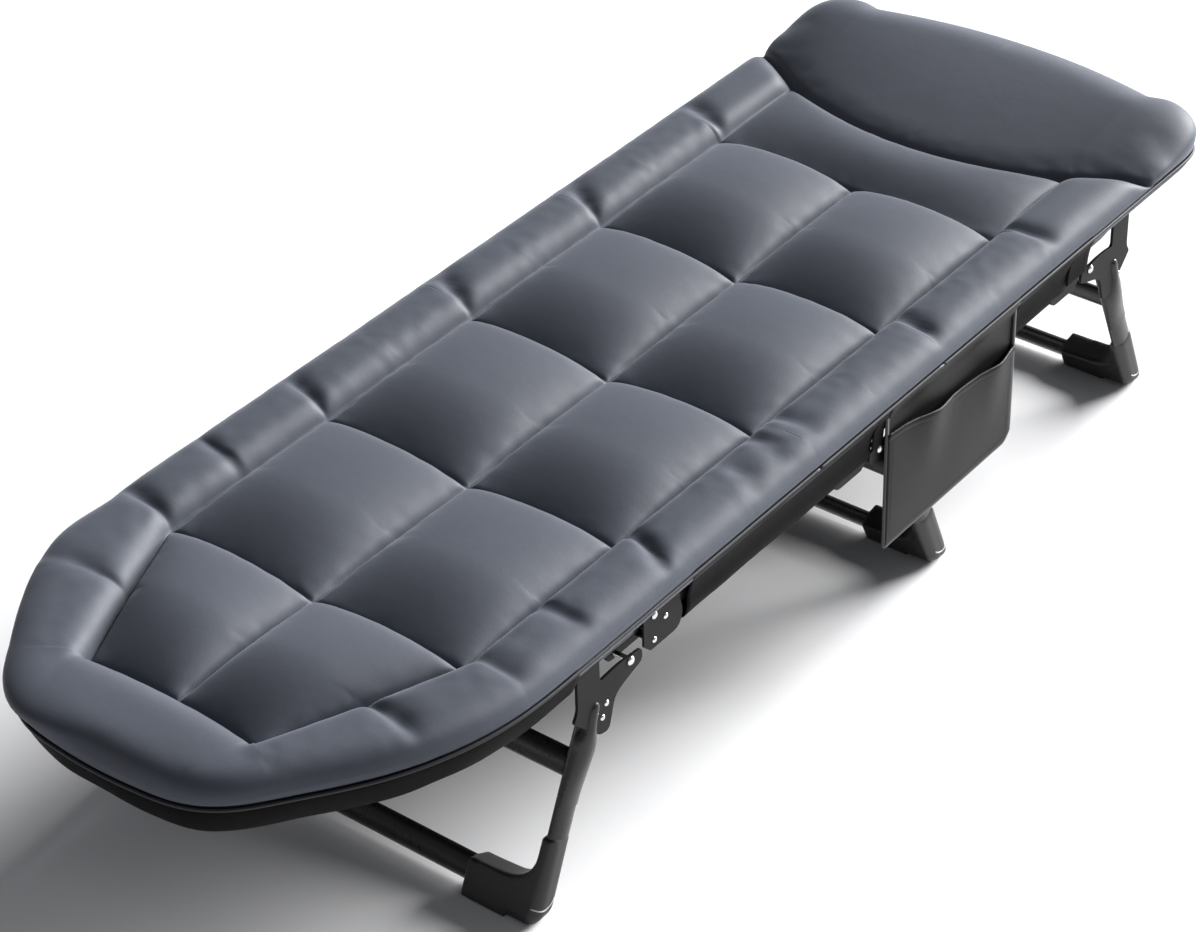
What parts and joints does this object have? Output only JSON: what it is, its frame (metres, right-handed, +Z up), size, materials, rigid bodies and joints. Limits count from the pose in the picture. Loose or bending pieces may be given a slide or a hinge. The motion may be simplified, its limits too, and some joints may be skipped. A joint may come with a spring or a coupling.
{
  "type": "folding cot",
  "caption": "Folding camp cot: padded mattress with a head pillow on a tubular frame whose ends fold up and whose splayed leg frames fold under.",
  "frame": {"origin": "floor point under the centre of the cot", "axes": "+X to the pocket side, +Y to the head, +Z up; the floor is Z = 0"},
  "size_m": [0.636, 1.8982, 0.402],
  "materials": {
    "tube_paint": "satin dark grey powder coat",
    "plate_paint": "satin dark grey powder coat on pressed plate",
    "pin_steel": "bright zinc-plated steel",
    "foot_plastic": "satin moulded plastic",
    "canvas": "black woven oxford cloth",
    "pocket_fabric": "dark grey woven oxford cloth with a soft sheen",
    "mattress_fabric": "brushed blue-grey microfibre"
  },
  "bodies": {
    "main_section": {"main_rail_right": "tube_paint", "main_rail_left": "tube_paint", "sling_main": "canvas", "mattress_main": "mattress_fabric", "pocket_back": "pocket_fabric", "pocket_front": "pocket_fabric", "pocket_gusset_foot": "pocket_fabric", "pocket_gusset_bottom": "pocket_fabric", "pocket_gusset_head": "pocket_fabric", "foot_bracket_right": "plate_paint", "foot_bracket_left": "plate_paint", "foot_fold_pin_right": "pin_steel", "foot_fold_pin_left": "pin_steel", "head_bracket_left": "plate_paint", "head_bracket_right": "plate_paint", "head_fold_pin_left": "pin_steel", "head_fold_pin_right": "pin_steel", "middle_bracket_left": "plate_paint", "middle_bracket_right": "plate_paint", "foot_leg_pin_right": "pin_steel", "foot_leg_pin_left": "pin_steel", "middle_leg_pin_left": "pin_steel", "middle_leg_pin_right": "pin_steel", "head_leg_pin_left": "pin_steel", "head_leg_pin_right": "pin_steel"},
    "foot_section": {"foot_knuckle_right": "plate_paint", "foot_knuckle_left": "plate_paint", "foot_frame": "tube_paint", "sling_foot": "canvas", "mattress_foot": "mattress_fabric"},
    "head_section": {"head_knuckle_left": "plate_paint", "head_knuckle_right": "plate_paint", "head_frame": "tube_paint", "sling_head": "canvas", "mattress_head": "mattress_fabric", "pillow": "mattress_fabric"},
    "foot_leg": {"foot_leg_plate_right": "plate_paint", "foot_leg_plate_left": "plate_paint", "foot_leg_tube_right": "tube_paint", "foot_leg_tube_left": "tube_paint", "foot_leg_foot_right": "foot_plastic", "foot_leg_foot_left": "foot_plastic", "foot_leg_lower_bar": "tube_paint", "foot_leg_upper_bar": "tube_paint"},
    "middle_leg": {"middle_leg_plate_left": "plate_paint", "middle_leg_plate_right": "plate_paint", "middle_leg_tube_left": "tube_paint", "middle_leg_tube_right": "tube_paint", "middle_leg_foot_left": "foot_plastic", "middle_leg_foot_right": "foot_plastic", "middle_leg_lower_bar": "tube_paint", "middle_leg_upper_bar": "tube_paint"},
    "head_leg": {"head_leg_plate_left": "plate_paint", "head_leg_plate_right": "plate_paint", "head_leg_tube_left": "tube_paint", "head_leg_tube_right": "tube_paint", "head_leg_foot_left": "foot_plastic", "head_leg_foot_right": "foot_plastic", "head_leg_lower_bar": "tube_paint", "head_leg_upper_bar": "tube_paint"}
  },
  "joints": [
    {"name": "foot_fold", "type": "hinge", "parent": "main_section", "child": "foot_section", "pos_m": [0, -0.354, 0.316], "axis": [-1, 0, 0], "range_deg": [0, 145], "deforming": ["mattress_foot", "mattress_main", "sling_main"]},
    {"name": "head_fold", "type": "hinge", "parent": "main_section", "child": "head_section", "pos_m": [0, 0.569, 0.316], "axis": [1, 0, 0], "range_deg": [0, 145], "deforming": ["mattress_head", "mattress_main", "pillow", "sling_main"]},
    {"name": "foot_leg_fold", "type": "hinge", "parent": "main_section", "child": "foot_leg", "pos_m": [0, -0.401, 0.281], "axis": [1, 0, 0], "range_deg": [0, 110]},
    {"name": "middle_leg_fold", "type": "hinge", "parent": "main_section", "child": "middle_leg", "pos_m": [0, 0.11, 0.281], "axis": [-1, 0, 0], "range_deg": [0, 95]},
    {"name": "head_leg_fold", "type": "hinge", "parent": "main_section", "child": "head_leg", "pos_m": [0, 0.616, 0.281], "axis": [-1, 0, 0], "range_deg": [0, 110]}
  ]
}
